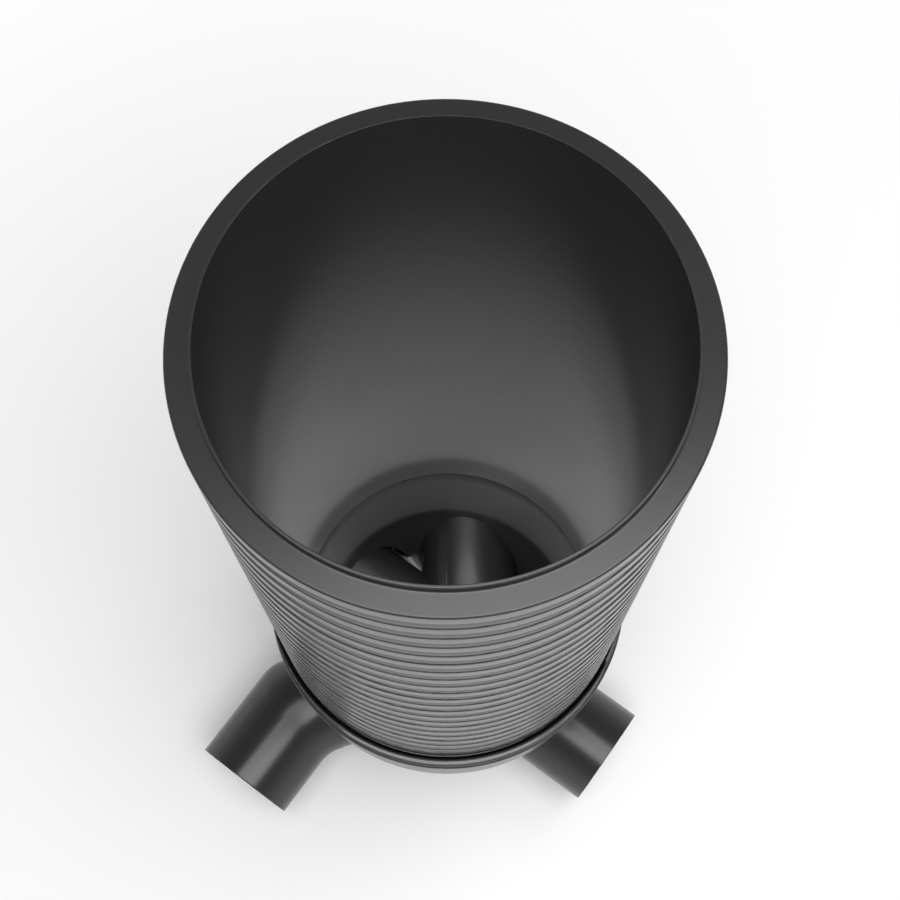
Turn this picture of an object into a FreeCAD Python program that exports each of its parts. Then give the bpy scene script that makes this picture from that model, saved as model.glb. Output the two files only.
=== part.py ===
import FreeCAD, Part
import math
import os

Vector = FreeCAD.Vector

# Drain inspection chamber: a ribbed riser shaft stands in the socket of a moulded base, and closed
# pipework lies on the floor of that base and leaves through its wall.
# The origin is the centre of the underside. X is the way the water flows and Z is up.
# All driving dimensions are in millimetres.

# Riser shaft
SHAFT_BORE_R = 212.5
SHAFT_WALL = 7.5
RIB_DEPTH = 18.0
RIB_PITCH = 38.2
RIB_HEIGHT = 19.1
RIB_COUNT = 26
RIB_BEVEL = 1.8
LIP_WALL = 2.9
LIP_HEIGHT = 10.6
LIP_FOOT = 2.4

# Base: wall, socket and neck
BASE_WALL = 4.4
SOCKET_GAP = 0.6
SOCKET_DEPTH = 172.0
MOUTH_STEP = 2.4
RIM_WALL = 4.7
RIM_HEIGHT = 51.0
RIM_SLOPE = 5.0
RIM_ROUND = 1.2
BEAD_R = 3.5
CORNER_ROUND = 2.5
SHOULDER_GAP = 1.0

# Base: bowl, floor and skirt
WAIST_STEP = 19.5
BOWL_HEIGHT = 155.0
BOWL_SAG = 2.0
FLOOR_STEP = 35.2
FLOOR_DROP = 5.0
FOOT_STEP = 1.6
FOOT_WIDTH = 8.0
FOOT_HEIGHT = 6.0

# Base: stiffening under the shoulder and under the floor
FIN_COUNT = 12
FIN_THICK = 5.0
FIN_EDGE = 3.0
FIN_RISE = 10.0
HUB_R = 42.0
WEB_THICK = 5.0

# Pipework
PIPE_R = 80.0
PIPE_WALL = 4.7
MAIN_R = 70.0
MAIN_WALL = 4.1
PIPE_LIFT = 20.0
PIPE_GAP = 0.5
CROWN_GAP = 2.0
SPIGOT_STEP = 0.8
SPIGOT_START = 1.2
SPIGOT_BEVEL = 0.8
JUNCTION_X = 50.6
OUTLET_FREE = 108.1
MAIN_FREE = 92.8
INLET_ANGLE = math.radians(51.78)
BEND_ROUND_R = 64.0
BEND_SPARE = 1.0
INLET_FREE = 93.3

# Pipe openings in the base
NICHE_GAP = 7.0
NICHE_STEP = 11.0
BOSS_WALL = 12.0
BOSS_PROUD = 4.4
PIPE_SEAL_WALL = 6.0
PIPE_SEAL_SEAT = 3.0
PIPE_SEAL_PROUD = 3.0

# Riser seal
RING_ROOT = 8.0
RING_GAP = 0.6
RING_LIPS = 3

# Radii worked out from the bore of the riser
SHAFT_ROOT_R = SHAFT_BORE_R + SHAFT_WALL
RIB_R = SHAFT_ROOT_R + RIB_DEPTH
SOCKET_R = RIB_R + SOCKET_GAP
SOCKET_OUT_R = SOCKET_R + BASE_WALL
NECK_R = SHAFT_ROOT_R + SOCKET_GAP
NECK_OUT_R = NECK_R + BASE_WALL
MOUTH_R = SOCKET_R + MOUTH_STEP
RIM_R = MOUTH_R + RIM_WALL
WAIST_R = SHAFT_BORE_R - WAIST_STEP
FLOOR_R = WAIST_R - FLOOR_STEP
NICHE_R = WAIST_R - NICHE_STEP
FOOT_R = WAIST_R + BASE_WALL + FOOT_STEP
BOSS_R = FOOT_R + BOSS_PROUD
PIPE_SEAL_IN_R = WAIST_R + PIPE_SEAL_SEAT
PIPE_SEAL_OUT_R = BOSS_R + PIPE_SEAL_PROUD

# Heights worked out from the pipes upwards
PIPE_Z = PIPE_R + PIPE_LIFT
FLOOR_Z = PIPE_Z - FLOOR_DROP
WAIST_Z = PIPE_Z + PIPE_R + CROWN_GAP
LEDGE_Z = WAIST_Z + BOWL_HEIGHT
GROOVE_HEIGHT = RIB_PITCH - RIB_HEIGHT
SHOULDER_Z = LEDGE_Z + GROOVE_HEIGHT - SHOULDER_GAP
SOCKET_TOP_Z = LEDGE_Z + SOCKET_DEPTH
SHAFT_TOP_Z = LEDGE_Z + RIB_COUNT * RIB_PITCH

# Where the pipes run
SPIGOT_FROM_R = PIPE_SEAL_OUT_R + SPIGOT_START
JUNCTION = Vector(JUNCTION_X, 0, PIPE_Z)
DOWNSTREAM = Vector(1, 0, 0)
UPSTREAM = Vector(-1, 0, 0)
UP = Vector(0, 0, 1)


def revolved(outline):
    """The solid that a closed outline in radius and height makes when it turns about the Z axis."""
    edges = []
    last = Vector(outline[0][0], 0, outline[0][1])
    first = last
    for step in outline[1:] + [outline[0]]:
        end = Vector(step[-2], 0, step[-1])
        if len(step) == 4:
            middle = Vector(step[0], 0, step[1])
            edges.append(Part.Arc(last, middle, end).toShape())
        else:
            edges.append(Part.LineSegment(last, end).toShape())
        last = end
    assert last.isEqual(first, 1e-6)
    face = Part.Face(Part.Wire(edges))
    return face.revolve(Vector(0, 0, 0), UP, 360)


def rod(start, way, length, radius, bevel=0.0):
    """A round bar from a point along a direction, with an optional bevel at its far end."""
    bar = Part.makeCylinder(radius, length - bevel, start, way)
    if bevel:
        end = start + way * (length - bevel)
        bar = bar.fuse(Part.makeCone(radius, radius - bevel, bevel, end, way))
    return bar


def beyond(point, way, size):
    """A block of a size that stands past a plane through a point, square to a direction."""
    block = Part.makeBox(size, size, size, Vector(-size / 2, -size / 2, 0))
    block.Placement = FreeCAD.Placement(point, FreeCAD.Rotation(UP, way))
    return block


def mitred_bend(corner, way_in, way_out, radius, reach):
    """A bar that turns a corner as a mitred pipe does, with the mitre rounded off.

    The oval of the mitre plane is carried along the rounded centre line without turning, so that
    every fibre of the wall, inner and outer side alike, is rounded to the same radius."""
    half = way_in.getAngle(way_out) / 2
    cut_back = BEND_ROUND_R * math.tan(half)
    spare = radius * math.tan(half) + BEND_SPARE
    enter = corner - way_in * cut_back
    leave = corner + way_out * cut_back
    inward = (way_out - way_in).normalize()
    centre = corner + inward * (BEND_ROUND_R / math.cos(half))
    crest = centre - inward * BEND_ROUND_R
    start = corner - way_in * (reach + spare)
    stop = corner + way_out * (reach + spare)
    path = Part.Wire(
        [
            Part.LineSegment(start, enter).toShape(),
            Part.Arc(enter, crest, leave).toShape(),
            Part.LineSegment(leave, stop).toShape(),
        ]
    )
    wide = start + inward * (radius / math.cos(half))
    oval = Part.Ellipse(wide, start + UP * radius, start)
    pipe = Part.BRepOffsetAPI.MakePipeShell(path)
    pipe.setTrihedronMode(start, UP)
    pipe.add(Part.Wire([oval.toShape()]))
    pipe.build()
    pipe.makeSolid()
    bar = pipe.shape()
    size = 4 * (radius + spare)
    bar = bar.cut(beyond(corner - way_in * reach, way_in * -1, size))
    return bar.cut(beyond(corner + way_out * reach, way_out, size))


def clear_of_base(way):
    """How far from the junction, along a level direction, the whole end of a pipe clears the base."""
    return SPIGOT_FROM_R - JUNCTION_X * way.x


def main_bars(way, free, radius, step, bevel):
    """One end of the main run: a step thinner in the base than on its free length."""
    clear = clear_of_base(way)
    return [
        rod(JUNCTION, way, clear, radius - step),
        rod(JUNCTION + way * clear, way, free, radius, bevel),
    ]


def inlet_way(side):
    """The direction in which a side inlet leaves the junction."""
    return Vector(-math.cos(INLET_ANGLE), side * math.sin(INLET_ANGLE), 0)


def inlet_bars(side, free, radius, step, bevel):
    """One side inlet: a leg in the base, then the mitred bend and the spigot outside it."""
    way = inlet_way(side)
    spigot_way = Vector(0, side, 0)
    leg = clear_of_base(way)
    reach = (PIPE_R + BEND_ROUND_R) * math.tan(way.getAngle(spigot_way) / 2) + BEND_SPARE
    corner = JUNCTION + way * (leg + reach)
    return [
        rod(JUNCTION, way, leg, radius - step),
        mitred_bend(corner, way, spigot_way, radius, reach),
        rod(corner + spigot_way * reach, spigot_way, free, radius, bevel),
    ]


def pipe_bars(pipe_r, main_r, step=SPIGOT_STEP, bevel=0.0, past_end=0.0):
    """The bars of the whole pipework for one pair of radii: skin, wall opening, cradle or bore."""
    bars = [Part.makeSphere(pipe_r - step, JUNCTION)]
    bars += main_bars(DOWNSTREAM, OUTLET_FREE + past_end, pipe_r, step, bevel)
    bars += main_bars(UPSTREAM, MAIN_FREE + past_end, main_r, step, bevel)
    for side in (1, -1):
        bars += inlet_bars(side, INLET_FREE + past_end, pipe_r, step, bevel)
    return bars


def grown_bars(grow):
    """The bars of the pipework with a length added to every radius."""
    return pipe_bars(PIPE_R + grow, MAIN_R + grow)


def united(shapes):
    """One solid out of several that overlap or touch."""
    return shapes[0].multiFuse(shapes[1:]).removeSplitter()


def drum(radius, low, high):
    """A plain cylinder on the Z axis between two heights."""
    return Part.makeCylinder(radius, high - low, Vector(0, 0, low))


def riser_shaft():
    """The riser: one wall with a smooth bore, square ribs outside and a thin lip on its top."""
    lip_r = SHAFT_BORE_R + LIP_WALL
    lip_z = SHAFT_TOP_Z + LIP_HEIGHT
    outline = [
        (SHAFT_BORE_R, LEDGE_Z),
        (SHAFT_BORE_R, lip_z),
        (lip_r, lip_z),
        (lip_r, SHAFT_TOP_Z + LIP_FOOT),
        (lip_r + LIP_FOOT, SHAFT_TOP_Z),
    ]
    for rib in range(RIB_COUNT):
        top = SHAFT_TOP_Z - rib * RIB_PITCH
        outline += [
            (RIB_R - RIB_BEVEL, top),
            (RIB_R, top - RIB_BEVEL),
            (RIB_R, top - RIB_HEIGHT),
            (SHAFT_ROOT_R, top - RIB_HEIGHT),
            (SHAFT_ROOT_R, top - RIB_PITCH),
        ]
    return revolved(outline)


def bowl_wall(offset=0.0):
    """The waist of the bowl and a point halfway up its wall, moved out by an offset."""
    middle_r = (WAIST_R + SHAFT_BORE_R) / 2 + BOWL_SAG
    middle_z = (WAIST_Z + LEDGE_Z) / 2
    return (WAIST_R + offset, WAIST_Z), (middle_r + offset, middle_z)


def arc_middle(radius, height, round_r, up):
    """The middle point of a quarter round that takes an outside corner off a profile."""
    in_by = round_r * (1 - math.sqrt(0.5))
    return radius - in_by, height + up * in_by


def base_outside():
    """The base as a filled body, from the rim of its socket to its foot."""
    ledge_under = LEDGE_Z - BASE_WALL
    shoulder_under = SHOULDER_Z - BASE_WALL
    bead_z = SOCKET_TOP_Z - RIM_HEIGHT
    corner_z = shoulder_under + CORNER_ROUND
    waist, middle = bowl_wall(BASE_WALL)
    outline = [
        (0, 0),
        (FOOT_R, 0),
        waist,
        (*middle, SHAFT_BORE_R + BASE_WALL, ledge_under),
        (NECK_OUT_R, ledge_under),
        (NECK_OUT_R, shoulder_under),
        (SOCKET_OUT_R - CORNER_ROUND, shoulder_under),
        (*arc_middle(SOCKET_OUT_R, shoulder_under, CORNER_ROUND, 1), SOCKET_OUT_R, corner_z),
        (SOCKET_OUT_R, bead_z - BEAD_R),
        (RIM_R, bead_z - BEAD_R),
        (RIM_R + BEAD_R * math.sqrt(0.5), bead_z - BEAD_R * math.sqrt(0.5), RIM_R + BEAD_R, bead_z),
        (RIM_R + BEAD_R * math.sqrt(0.5), bead_z + BEAD_R * math.sqrt(0.5), RIM_R, bead_z + BEAD_R),
        (RIM_R, SOCKET_TOP_Z - RIM_ROUND),
        (*arc_middle(RIM_R, SOCKET_TOP_Z, RIM_ROUND, -1), RIM_R - RIM_ROUND, SOCKET_TOP_Z),
        (0, SOCKET_TOP_Z),
    ]
    return revolved(outline)


def base_inside():
    """The space inside the base: flat floor, bowl, neck, socket and widened mouth."""
    rim_z = SOCKET_TOP_Z - RIM_HEIGHT
    waist, middle = bowl_wall()
    outline = [
        (0, FLOOR_Z),
        (FLOOR_R, FLOOR_Z),
        waist,
        (*middle, SHAFT_BORE_R, LEDGE_Z),
        (NECK_R, LEDGE_Z),
        (NECK_R, SHOULDER_Z),
        (SOCKET_R, SHOULDER_Z),
        (SOCKET_R, rim_z),
        (MOUTH_R, rim_z + RIM_SLOPE),
        (MOUTH_R, SOCKET_TOP_Z),
        (0, SOCKET_TOP_Z),
    ]
    return revolved(outline)


def under_hollow():
    """The hollow under the floor, between the bowl and the skirt, open at the ground."""
    slope = (WAIST_R - FLOOR_R) / (WAIST_Z - FLOOR_Z)
    out = BASE_WALL * math.hypot(1, slope)
    floor_under = FLOOR_Z - BASE_WALL
    skirt_slope = (FOOT_R - WAIST_R - BASE_WALL) / WAIST_Z
    skirt_low_r = FOOT_R - BASE_WALL - FOOT_HEIGHT * skirt_slope
    peak_z = (skirt_low_r - FLOOR_R - out + FLOOR_Z * slope) / (slope + skirt_slope)
    peak_r = FLOOR_R + out + (peak_z - FLOOR_Z) * slope
    outline = [
        (0, 0),
        (FOOT_R - FOOT_WIDTH, 0),
        (FOOT_R - FOOT_WIDTH, FOOT_HEIGHT),
        (skirt_low_r, FOOT_HEIGHT),
        (peak_r, peak_z),
        (FLOOR_R + out + (floor_under - FLOOR_Z) * slope, floor_under),
        (0, floor_under),
    ]
    return revolved(outline)


def shoulder_fin(angle):
    """One upright gusset between the shoulder of the socket and the bowl."""
    shoulder_under = SHOULDER_Z - BASE_WALL
    bottom = WAIST_Z + FIN_RISE
    corners = [
        Vector(0, 0, bottom),
        Vector(WAIST_R + BASE_WALL + FIN_EDGE, 0, bottom),
        Vector(SOCKET_OUT_R - FIN_EDGE, 0, shoulder_under),
        Vector(SOCKET_OUT_R - FIN_EDGE, 0, shoulder_under + BASE_WALL / 2),
        Vector(0, 0, shoulder_under + BASE_WALL / 2),
    ]
    fin = Part.Face(Part.makePolygon(corners + corners[:1])).extrude(Vector(0, FIN_THICK, 0))
    fin.translate(Vector(0, -FIN_THICK / 2, 0))
    fin.rotate(Vector(0, 0, 0), UP, angle)
    return fin


def wall_bosses():
    """The thick rings round the four pipe openings, as bars that run out to the boss radius."""
    inside = drum(BOSS_R, 0, LEDGE_Z)
    bars = grown_bars(BOSS_WALL)
    return [bar.common(inside) for bar in bars]


def under_frame():
    """What stays under the floor: the cradles of the pipes, a hub on the ground and cross webs."""
    hub = drum(HUB_R, 0, FLOOR_Z)
    length = 2 * (FOOT_R - BASE_WALL)
    frame = [hub]
    for angle in (45, 135):
        start = Vector(-length / 2, -WEB_THICK / 2, 0)
        web = Part.makeBox(length, WEB_THICK, FLOOR_Z, start)
        web.rotate(Vector(0, 0, 0), UP, angle)
        frame.append(web)
    return frame + grown_bars(PIPE_GAP + BASE_WALL)


def wall_ring():
    """The outer part of the base wall, where the pipe seals sit."""
    return drum(PIPE_SEAL_OUT_R, 0, LEDGE_Z).cut(drum(PIPE_SEAL_IN_R, 0, LEDGE_Z))


def base_body():
    """The base: socket, bowl, floor, skirt and pipe bosses, moulded as one piece."""
    fins = [shoulder_fin(360 / FIN_COUNT * (n + 0.5)) for n in range(FIN_COUNT)]
    body = base_outside().multiFuse(fins + wall_bosses())
    niche = rod(Vector(0, 0, PIPE_Z), UPSTREAM, NICHE_R, MAIN_R + NICHE_GAP)
    niche = niche.common(drum(NICHE_R, FLOOR_Z, WAIST_Z))
    body = body.cut(base_inside()).cut(niche)
    hollow = under_hollow().cut(united(under_frame()))
    bosses = united(wall_bosses()).cut(drum(WAIST_R - BOSS_WALL, 0, LEDGE_Z))
    body = body.cut(hollow.cut(bosses))
    body = body.cut(united(grown_bars(PIPE_GAP)))
    for _, _, pocket in seal_places():
        body = body.cut(pocket)
    return body.removeSplitter()


def seal_places():
    """Each pipe opening: its name, the bar of its pipe, and the pocket that its seal fills."""
    reach = 2 * FOOT_R
    ways = [("outlet_seal", DOWNSTREAM, PIPE_R), ("main_inlet_seal", UPSTREAM, MAIN_R)]
    for side, name in ((1, "left_inlet_seal"), (-1, "right_inlet_seal")):
        ways.append((name, inlet_way(side), PIPE_R))
    ring = wall_ring()
    places = []
    for name, way, radius in ways:
        bar = rod(JUNCTION, way, reach, radius - SPIGOT_STEP)
        pocket = rod(JUNCTION, way, reach, radius + PIPE_SEAL_WALL).common(ring)
        places.append((name, bar, pocket))
    return places


def riser_seal():
    """The rubber ring in the lowest groove between two ribs, with lips that reach the socket."""
    low = LEDGE_Z + RIB_PITCH + RING_GAP
    high = low + GROOVE_HEIGHT - 2 * RING_GAP
    root = SHAFT_ROOT_R + RING_ROOT
    lip = (high - low) / RING_LIPS
    outline = [(SHAFT_ROOT_R, low), (root, low)]
    for n in range(RING_LIPS):
        outline += [(SOCKET_R, low + (n + 0.75) * lip), (root, low + (n + 1) * lip)]
    outline.append((SHAFT_ROOT_R, high))
    return revolved(outline)


def pipework():
    """The closed pipework: one outlet, the main inlet and two mitred side inlets."""
    outside = pipe_bars(PIPE_R, MAIN_R, bevel=SPIGOT_BEVEL)
    bores = pipe_bars(PIPE_R - PIPE_WALL, MAIN_R - MAIN_WALL, step=0.0, past_end=PIPE_WALL)
    return united(outside).cut(united(bores))


def main():
    parts = {
        "riser_shaft": riser_shaft(),
        "riser_seal": riser_seal(),
        "base_body": base_body(),
        "pipework": pipework(),
    }
    for name, bar, pocket in seal_places():
        parts[name] = pocket.cut(bar)
    os.makedirs("parts", exist_ok=True)
    for name, shape in parts.items():
        litres = shape.Volume / 1e6
        print(f"{name}: {len(shape.Solids)} solid, {len(shape.Faces)} faces, {litres:.2f} litres")
        assert shape.isValid(), name
        shape.exportStep(f"parts/{name}.step")


main()
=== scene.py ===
# %% [markdown]
# # A drain inspection chamber in dark satin plastic
# The object is a ribbed riser shaft that stands in the socket of a moulded base. Closed pipes lie on
# the floor of that base and come out through its wall. The solids are loaded as a fixed frame, in
# metres, and this lesson gives them the smooth surfaces and the finish of moulded polypropylene.

# %% Load the frame
import math

import bmesh
import bpy
import numpy as np
from mathutils import Euler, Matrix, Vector


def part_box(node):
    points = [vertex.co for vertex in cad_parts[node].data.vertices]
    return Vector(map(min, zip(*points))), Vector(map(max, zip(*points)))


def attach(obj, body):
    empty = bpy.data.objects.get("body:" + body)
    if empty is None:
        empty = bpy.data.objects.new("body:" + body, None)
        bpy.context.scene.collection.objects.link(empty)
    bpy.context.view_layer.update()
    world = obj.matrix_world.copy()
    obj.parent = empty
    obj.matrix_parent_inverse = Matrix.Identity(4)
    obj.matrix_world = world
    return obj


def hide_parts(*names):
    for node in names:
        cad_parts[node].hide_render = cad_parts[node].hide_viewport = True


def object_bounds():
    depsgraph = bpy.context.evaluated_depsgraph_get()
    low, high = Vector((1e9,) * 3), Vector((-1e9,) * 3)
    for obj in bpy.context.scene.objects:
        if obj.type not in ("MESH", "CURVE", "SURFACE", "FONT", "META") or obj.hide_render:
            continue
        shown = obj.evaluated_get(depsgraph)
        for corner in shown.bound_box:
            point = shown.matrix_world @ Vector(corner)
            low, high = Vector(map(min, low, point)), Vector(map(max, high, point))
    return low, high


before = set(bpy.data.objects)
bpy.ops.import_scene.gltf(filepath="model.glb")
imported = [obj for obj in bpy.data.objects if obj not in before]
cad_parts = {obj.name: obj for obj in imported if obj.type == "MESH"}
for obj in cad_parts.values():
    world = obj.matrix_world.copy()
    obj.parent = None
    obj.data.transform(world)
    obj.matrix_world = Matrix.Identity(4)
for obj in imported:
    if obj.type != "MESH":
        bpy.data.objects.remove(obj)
CAD_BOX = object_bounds()
MM = 0.001
print("nodes:", sorted(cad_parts))
print("box of the solids in mm:", [[round(v / MM, 1) for v in corner] for corner in CAD_BOX])

# %% [markdown]
# ## Surfaces from numbers
# The riser is a body of revolution: an outline in radius and height that turns about the Z axis. That
# could be made with Blender's Screw modifier, but a function of two parameters, the place along the
# outline and the angle, is as short and gives exact control of where the vertices lie, so the
# sharp-looking edges can have the small radius of a real mould.

# %% Turn an outline into a mesh
TURN_STEPS = 216


def mesh_object(name, vertices, faces):
    """A new object from an array of vertices and an array of faces with the same number of corners."""
    mesh = bpy.data.meshes.new(name)
    mesh.from_pydata(vertices.tolist(), [], faces.tolist())
    mesh.validate()
    made = bpy.data.objects.new(name, mesh)
    bpy.context.scene.collection.objects.link(made)
    return made


def turned(name, outline, steps=TURN_STEPS):
    """The surface x = r cos t, y = r sin t, z = z, for each point (r, z) of a closed outline and each
    of the steps of the angle t from 0 to a full turn."""
    outline = np.asarray(outline)
    rows = len(outline)
    angle = np.arange(steps) * 2 * np.pi / steps
    r, z = outline[:, :1], outline[:, 1:]
    grid = np.stack(
        [r * np.cos(angle), r * np.sin(angle), np.broadcast_to(z, (rows, steps))], axis=-1
    )
    row, column = np.meshgrid(np.arange(rows), np.arange(steps), indexing="ij")
    next_row, next_column = (row + 1) % rows, (column + 1) % steps
    corners = [
        row * steps + column,
        row * steps + next_column,
        next_row * steps + next_column,
        next_row * steps + column,
    ]
    faces = np.stack(corners, axis=-1).reshape(-1, 4)
    made = mesh_object(name, grid.reshape(-1, 3), faces)
    print(f"{name}: {rows} points in the outline, {len(faces)} faces")
    return made


# %% [markdown]
# An outline is written as its sharp corners, each with a rounding radius. The arc in a corner is
# found from the two directions that meet there, so one function rounds every edge of the riser.

# %% Round the corners of an outline
ARC_STEPS = 3


def rounded(corners):
    """The outline with an arc of radius q in each corner (r, z, q).

    With u and v the unit directions from the corner to its neighbours and h half the angle between
    them, the arc touches both sides at q / tan h from the corner, and its centre lies on the
    bisector at q / sin h."""
    points = np.array([c[:2] for c in corners], float)
    radii = [c[2] for c in corners]
    before = np.roll(points, 1, axis=0) - points
    after = np.roll(points, -1, axis=0) - points
    out = []
    for point, a, b, radius in zip(points, before, after, radii):
        if not radius:
            out.append(point[None])
            continue
        u, v = a / np.linalg.norm(a), b / np.linalg.norm(b)
        half = np.arccos(np.clip(u @ v, -1, 1)) / 2
        middle = (u + v) / np.linalg.norm(u + v)
        centre = point + middle * radius / np.sin(half)
        start = point + u * radius / np.tan(half) - centre
        stop = point + v * radius / np.tan(half) - centre
        sweep = np.pi - 2 * half
        t = np.linspace(0, 1, ARC_STEPS + 1)[:, None]
        mix = np.sin((1 - t) * sweep) * start + np.sin(t * sweep) * stop
        out.append(centre + mix / np.sin(sweep))
    return np.concatenate(out)


# %% [markdown]
# ## The riser shaft
# The real riser is one wall with a smooth bore and square ribs, and a thin lip stands on its flat
# top. The photograph shows a dark line along the top edge of every rib: that is its mould radius,
# which mirrors the room instead of the lamp or the floor, so each rib gets a true rounded edge.

# %% Model the riser
RIB_R = 238.0 * MM
ROOT_R = 220.0 * MM
BORE_R = 212.5 * MM
RIB_PITCH = 38.2 * MM
RIB_HEIGHT = 19.1 * MM
RIB_TOP_ROUND = 2.4 * MM
RIB_UNDER_ROUND = 1.0 * MM
ROOT_ROUND = 1.5 * MM
LIP_WALL = 2.9 * MM
LIP_HEIGHT = 10.6 * MM
LIP_FOOT = 2.4 * MM
LIP_ROUND = 0.6 * MM


def riser_outline(low, high):
    """The corners of the riser's wall between its foot and the top of its lip."""
    top = high - LIP_HEIGHT
    corners = [
        (BORE_R, low, LIP_ROUND),
        (BORE_R, high, LIP_ROUND),
        (BORE_R + LIP_WALL, high, LIP_ROUND),
        (BORE_R + LIP_WALL, top, LIP_FOOT),
    ]
    ribs = round((top - low) / RIB_PITCH)
    for rib in range(ribs):
        z = top - rib * RIB_PITCH
        last = rib == ribs - 1
        corners += [
            (RIB_R, z, RIB_TOP_ROUND),
            (RIB_R, z - RIB_HEIGHT, RIB_UNDER_ROUND),
            (ROOT_R, z - RIB_HEIGHT, ROOT_ROUND),
            (ROOT_R, z - RIB_PITCH, LIP_ROUND if last else ROOT_ROUND),
        ]
    print("ribs:", ribs)
    return rounded(corners)


riser_low, riser_high = (corner[2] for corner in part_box("riser_shaft"))
riser = turned("riser_shaft_smooth", riser_outline(riser_low, riser_high))
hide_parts("riser_shaft")
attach(riser, "root")

# %% [markdown]
# ## Smooth copies of the solids
# The base, the pipework and the seals are already right in shape, but a solid comes as loose flat
# triangles, and those would show as facets in a satin finish. A copy with its corners merged, smooth
# inside each face and sharp where faces meet, shades as the curved surface that it stands for.

# %% Make the smooth copies
EDGE_ANGLE = math.radians(30)
MERGE = 0.002 * MM


def smooth_faces(piece):
    """Shades a piece smoothly, keeps its edges, and lets large faces set the normals at a rounding."""
    mesh = piece.data
    mesh.shade_smooth()
    mesh.set_sharp_from_angle(angle=EDGE_ANGLE)
    weights = piece.modifiers.new("large faces first", "WEIGHTED_NORMAL")
    weights.keep_sharp = True


def smooth_copy(node):
    """A merged copy of a solid that stands for it, with smooth shading."""
    work = bmesh.new()
    work.from_mesh(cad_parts[node].data)
    bmesh.ops.remove_doubles(work, verts=work.verts, dist=MERGE)
    mesh = bpy.data.meshes.new(node + "_smooth")
    work.to_mesh(mesh)
    work.free()
    made = bpy.data.objects.new(node + "_smooth", mesh)
    bpy.context.scene.collection.objects.link(made)
    smooth_faces(made)
    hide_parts(node)
    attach(made, "root")
    print(f"{made.name}: {len(mesh.polygons)} faces")
    return made


smooth_faces(riser)
base = smooth_copy("base_body")
pipes = smooth_copy("pipework")
seal_nodes = sorted(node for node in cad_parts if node.endswith("_seal"))
seals = [smooth_copy(node) for node in seal_nodes]

# %% [markdown]
# ## Writing a finish as an expression
# A finish is a small network of nodes. Two helpers keep it readable: a signal is a socket whose
# operators add Math nodes, so a mask can be written as 1 - mask, and a finish adds any other node
# from its type, its settings and the values of its inputs.

# %% Signals and finishes
class Signal:
    """A socket that takes part in sums: each operator adds a Math node."""

    def __init__(self, finish, socket):
        self.finish = finish
        self.socket = socket

    def sum_of(self, operation, first, second):
        """The Math node's result for two values or signals."""
        return self.finish.add("ShaderNodeMath", {"operation": operation}, {0: first, 1: second})

    def __add__(self, other):
        return self.sum_of("ADD", self, other)

    def __sub__(self, other):
        return self.sum_of("SUBTRACT", self, other)

    def __rsub__(self, other):
        return self.sum_of("SUBTRACT", other, self)

    def __mul__(self, other):
        return self.sum_of("MULTIPLY", self, other)

    __radd__ = __add__
    __rmul__ = __mul__


class Finish:
    """The nodes of a material or of the world, built up one by one."""

    def __init__(self, owner):
        self.owner = owner
        owner.use_nodes = True
        self.tree = owner.node_tree
        self.tree.nodes.clear()

    def add(self, kind, settings=None, values=None, output=0):
        """Adds a node: its settings first, then its inputs, and gives the signal of one output."""
        node = self.tree.nodes.new(kind)
        for key, value in (settings or {}).items():
            setattr(node, key, value)
        for key, value in (values or {}).items():
            if isinstance(value, Signal):
                self.tree.links.new(value.socket, node.inputs[key])
            else:
                node.inputs[key].default_value = value
        return Signal(self, node.outputs[output])

    def surface(self, shader, output="ShaderNodeOutputMaterial"):
        """Makes a shader the surface of the material, or of the world."""
        out = self.tree.nodes.new(output)
        self.tree.links.new(shader.socket, out.inputs["Surface"])
        return self.owner

    def place(self):
        """The place on the object, in metres."""
        return self.add("ShaderNodeTexCoord", output="Object")

    def noise(self, scale, detail, stretch=None):
        """Noise from 0 to 1 with so many blobs to the metre, stretched along an axis if asked."""
        place = self.place()
        if stretch:
            place = self.add("ShaderNodeMapping", None, {"Vector": place, "Scale": stretch})
        values = {"Vector": place, "Scale": scale, "Detail": detail}
        return self.add("ShaderNodeTexNoise", None, values, output="Fac")

    def blend(self, amount, first, second):
        """A colour between two colours."""
        settings = {"data_type": "RGBA"}
        values = {"Factor": amount, 6: first, 7: second}
        return self.add("ShaderNodeMix", settings, values, output=2)


# %% [markdown]
# ## Moulded plastic and rubber
# Polypropylene from a mould is near black and satin. Its colour is almost even, with faint clouds
# where the melt flowed, its gloss wanders a little, and the skin has a fine grain that breaks up the
# highlights. The rubber of the seals is darker and duller, with a coarser grain.

# %% Make the finishes
CLOUD_SCALE = 5.0
CLOUD_DETAIL = 4.0
CLOUD_SHARE = 0.7
SPECK_SCALE = 260.0
FINE_DETAIL = 2.0
GRAIN_STRENGTH = 0.25
PLASTIC = {
    "dark": (0.016, 0.016, 0.0165),
    "light": (0.022, 0.022, 0.0225),
    "gloss": 0.26,
    "wander": 0.05,
    "grain": 1500.0,
    "grain_depth": 0.02 * MM,
}
RUBBER = {
    "dark": (0.012, 0.012, 0.012),
    "light": (0.02, 0.02, 0.02),
    "gloss": 0.6,
    "wander": 0.1,
    "grain": 700.0,
    "grain_depth": 0.05 * MM,
}
RISER_STRETCH = (1, 1, 0.25)


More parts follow.
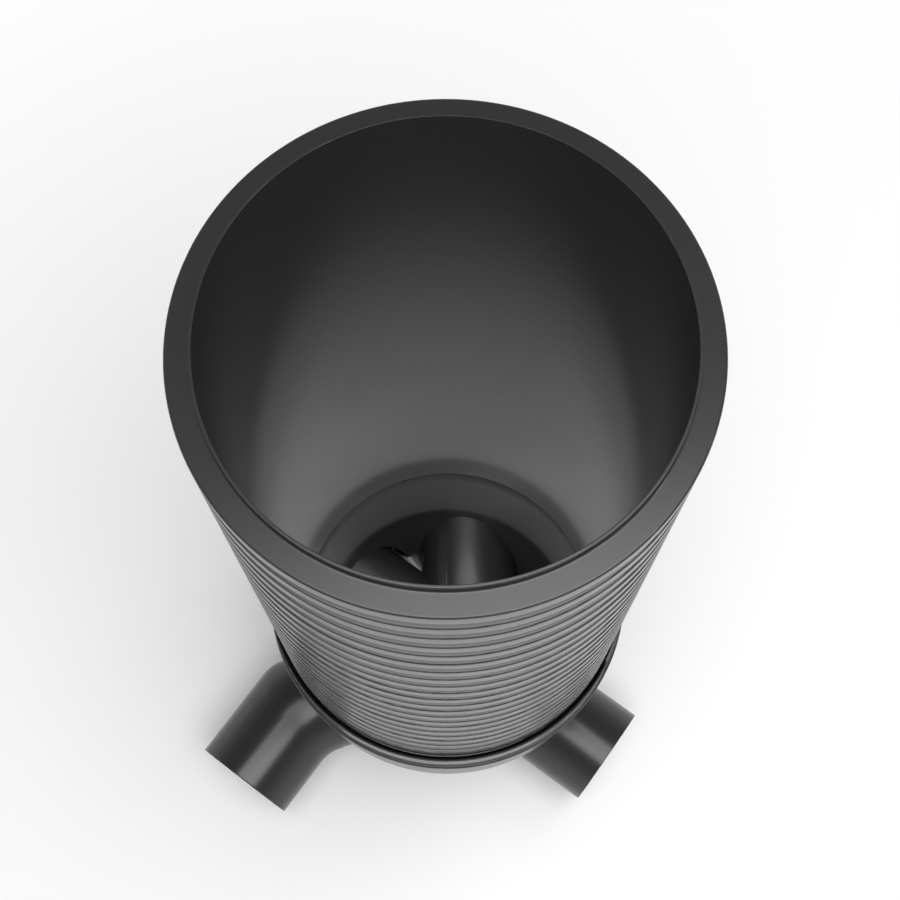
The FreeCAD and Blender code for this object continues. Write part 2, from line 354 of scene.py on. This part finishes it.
def moulded(name, dark, light, gloss, wander, grain, grain_depth, stretch=None):
    """A moulded skin: clouded colour, wandering roughness and a fine grain."""
    finish = Finish(bpy.data.materials.new(name))
    cloud = finish.noise(CLOUD_SCALE, CLOUD_DETAIL, stretch)
    speck = finish.noise(SPECK_SCALE, FINE_DETAIL)
    shade = cloud * CLOUD_SHARE + speck * (1 - CLOUD_SHARE)
    colour = finish.blend(shade, (*dark, 1), (*light, 1))
    roughness = cloud * wander + (gloss - wander / 2)
    values = {
        "Strength": GRAIN_STRENGTH,
        "Distance": grain_depth,
        "Height": finish.noise(grain, FINE_DETAIL),
    }
    bump = finish.add("ShaderNodeBump", None, values)
    values = {"Base Color": colour, "Roughness": roughness, "Normal": bump}
    return finish.surface(finish.add("ShaderNodeBsdfPrincipled", None, values))


plastic = moulded("satin_plastic", **PLASTIC)
shaft_plastic = moulded("riser_plastic", **PLASTIC, stretch=RISER_STRETCH)
rubber = moulded("seal_rubber", **RUBBER)


def dress(piece, material):
    """Gives a piece one material all over."""
    piece.data.materials.clear()
    piece.data.materials.append(material)


dress(riser, shaft_plastic)
dress(base, plastic)
dress(pipes, plastic)
for seal in seals:
    dress(seal, rubber)

# %% [markdown]
# ## Floor, light and camera
# The picture has a white floor that fades into a white background, a soft light high above and a
# pale room all round. The floor is one large plane just under the foot of the base. It keeps the shadow
# near the object and turns into plain white further out. The room is brightest near the horizon, which
# is what the flanks of the pipes mirror.

# %% Set the stage
FLOOR_HALF = 30.0
FLOOR_DROP = 0.5 * MM
FLOOR_COLOUR = 0.95
FADE_START = 0.6
FADE_END = 1.8


def floor_plane():
    """A square of the stage's size, just under the lowest point of the object."""
    z = CAD_BOX[0][2] - FLOOR_DROP
    square = np.array([(-1, -1), (1, -1), (1, 1), (-1, 1)]) * FLOOR_HALF
    vertices = np.column_stack([square, np.full(4, z)])
    return mesh_object("floor", vertices, np.array([[0, 1, 2, 3]]))


floor = floor_plane()


def floor_white():
    """A white floor that fades, for camera and mirror rays, into the white background far away."""
    white = Finish(bpy.data.materials.new("floor_white"))
    values = {"Base Color": (FLOOR_COLOUR,) * 3 + (1,), "Roughness": 1.0, "Specular IOR Level": 0.0}
    lit = white.add("ShaderNodeBsdfPrincipled", None, values)
    glow = white.add("ShaderNodeEmission", None, {"Color": (1, 1, 1, 1), "Strength": 1.0})
    distance = white.add(
        "ShaderNodeVectorMath", {"operation": "LENGTH"}, {0: white.place()}, output="Value"
    )
    limits = {"Value": distance, "From Min": FADE_START, "From Max": FADE_END}
    far = white.add("ShaderNodeMapRange", {"interpolation_type": "SMOOTHSTEP"}, limits)
    camera_ray = white.add("ShaderNodeLightPath", output="Is Camera Ray")
    mirror_ray = white.add("ShaderNodeLightPath", output="Is Glossy Ray")
    fade = far * (camera_ray + mirror_ray)
    return white.surface(white.add("ShaderNodeMixShader", None, {0: fade, 1: lit, 2: glow}))


dress(floor, floor_white())

HORIZON_LEVEL = 1.0
ZENITH_LEVEL = 0.16


def pale_room():
    """A world that looks white and lights things less the higher the light comes from.

    Its level is zenith + (horizon - zenith) * (1 - z)**2, where z is the height of the direction."""
    world = bpy.data.worlds.new("pale_room")
    bpy.context.scene.world = world
    room = Finish(world)
    way = room.add("ShaderNodeTexCoord", output="Generated")
    height = room.add("ShaderNodeSeparateXYZ", None, {0: way}, output="Z")
    height = room.add("ShaderNodeClamp", None, {"Value": height})
    depth = 1 - height
    level = depth * depth * (HORIZON_LEVEL - ZENITH_LEVEL) + ZENITH_LEVEL
    seen = room.add("ShaderNodeLightPath", output="Is Camera Ray")
    level = seen + (1 - seen) * level
    light = room.add("ShaderNodeBackground", None, {"Color": (1, 1, 1, 1), "Strength": level})
    room.surface(light, "ShaderNodeOutputWorld")


pale_room()

# %% [markdown]
# The photograph shows the lamp's shine on every rib's top as if no rib stood over the next. So the
# lamp overhead is made twice: one lights all but the riser, and the other lights the riser alone and
# isn't held back by it. A side lamp that no surface mirrors deepens the shadow on the floor. The walls
# inside are brighter in the photograph than light from above can make them, so three low lamps inside
# the shaft add what is missing. The camera sees none of the lamps. Each is given as its place in metres,
# its radius and its radiance, and the low ones also have a turn.

# %% Place the lamps
def disc_lamp(name, place, radius, radiance, turn=0.0):
    """A round lamp at a place that shines down, or up when it is turned over.

    Its power in watts is radiance * pi * area, so a radiance of 1 looks as white as paper."""
    data = bpy.data.lights.new(name, "AREA")
    data.shape = "DISK"
    data.size = 2 * radius
    data.energy = radiance * math.pi * math.pi * radius**2
    lamp = bpy.data.objects.new(name, data)
    lamp.location = place
    lamp.rotation_euler = (turn, 0, 0)
    lamp.visible_camera = False
    bpy.context.scene.collection.objects.link(lamp)
    print(f"{name}: {data.energy:.2f} W")
    return lamp


def riser_only(state):
    """A collection that holds the riser, to be included in a lamp's light or excluded from it."""
    group = bpy.data.collections.new("riser_" + state.lower())
    group.objects.link(riser)
    group.collection_objects[0].light_linking.link_state = state
    return group


OVERHEAD = ((1.25, -0.67, 5.0), 2.2, 5.2)
SIDE_LAMP = ((0.8, 2.95, 4.0), 1.2, 1.8)
LOW_LAMPS = [
    ("wall_fill", (0, 0, 0.375), 0.2, 0.33, math.pi),
    ("bowl_fill", (0, 0, 0.185), 0.185, 0.23, math.pi),
    ("floor_fill", (0, 0, 0.36), 0.18, 1.7, 0.0),
]
included, excluded = riser_only("INCLUDE"), riser_only("EXCLUDE")
overhead = disc_lamp("overhead", *OVERHEAD)
overhead.light_linking.receiver_collection = excluded
riser_lamp = disc_lamp("riser_lamp", *OVERHEAD)
riser_lamp.light_linking.receiver_collection = included
riser_lamp.light_linking.blocker_collection = excluded
side_lamp = disc_lamp("side_lamp", *SIDE_LAMP)
side_lamp.visible_glossy = False
for name, place, radius, radiance, turn in LOW_LAMPS:
    disc_lamp(name, place, radius, radiance, turn)

# %% [markdown]
# The camera looks down into the shaft. Its place is given from the centre of the riser's flat top, in
# riser radii, which is how it was measured in the photograph, and then turned to the frame, in
# which the water flows along X.

# %% Place the camera
PHOTO_WIDTH = 900
FOCAL_PIXELS = 1448.8
CAMERA_PITCH = math.radians(70.73)
CAMERA_TURN = math.radians(36.2)
CAMERA_PLACE = Vector((0.016, -2.053, 4.713))
SENSOR = 36.0


def place_camera():
    """A camera that sees the riser's top as the photograph does."""
    data = bpy.data.cameras.new("camera")
    data.sensor_width = SENSOR
    data.lens = FOCAL_PIXELS / PHOTO_WIDTH * SENSOR
    camera = bpy.data.objects.new("camera", data)
    top = Vector((0, 0, riser_high - LIP_HEIGHT))
    offset = CAMERA_PLACE * RIB_R
    offset.rotate(Euler((0, 0, CAMERA_TURN)))
    camera.location = top + offset
    camera.rotation_euler = (math.pi / 2 - CAMERA_PITCH, 0, CAMERA_TURN)
    bpy.context.scene.collection.objects.link(camera)
    bpy.context.scene.camera = camera
    print("camera at", [round(v, 3) for v in camera.location], "lens", round(data.lens, 2))


place_camera()
bpy.context.scene.view_settings.view_transform = "Standard"

# %% [markdown]
